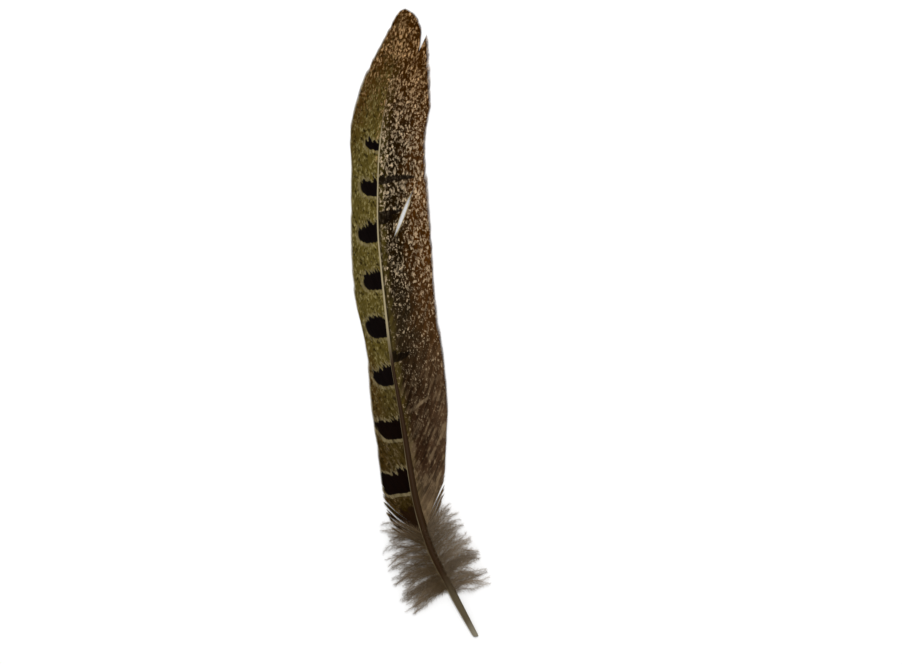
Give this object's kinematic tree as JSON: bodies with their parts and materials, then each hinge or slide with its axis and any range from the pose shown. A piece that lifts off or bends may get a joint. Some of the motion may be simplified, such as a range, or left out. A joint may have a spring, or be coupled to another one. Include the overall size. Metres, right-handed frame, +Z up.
{
  "type": "pheasant tail feather",
  "caption": "Tapering tail feather lying upper side up: narrow olive vane with black spots, wide brown flecked vane, horn shaft, grey-brown down at the bare quill.",
  "frame": {"origin": "middle of the feather's box in plan, on the surface that it lies on", "axes": "+Y from the quill's end to the tip, +Z up out of the feather's upper side, +X towards the wide vane"},
  "size_m": [0.0326, 0.2, 0.0041],
  "materials": {
    "feather": "soft satin barbs, olive and dark brown with pale flecks and black spots, glossy horn shaft, matte down"
  },
  "bodies": {
    "root": {"feather": "feather"}
  },
  "joints": []
}
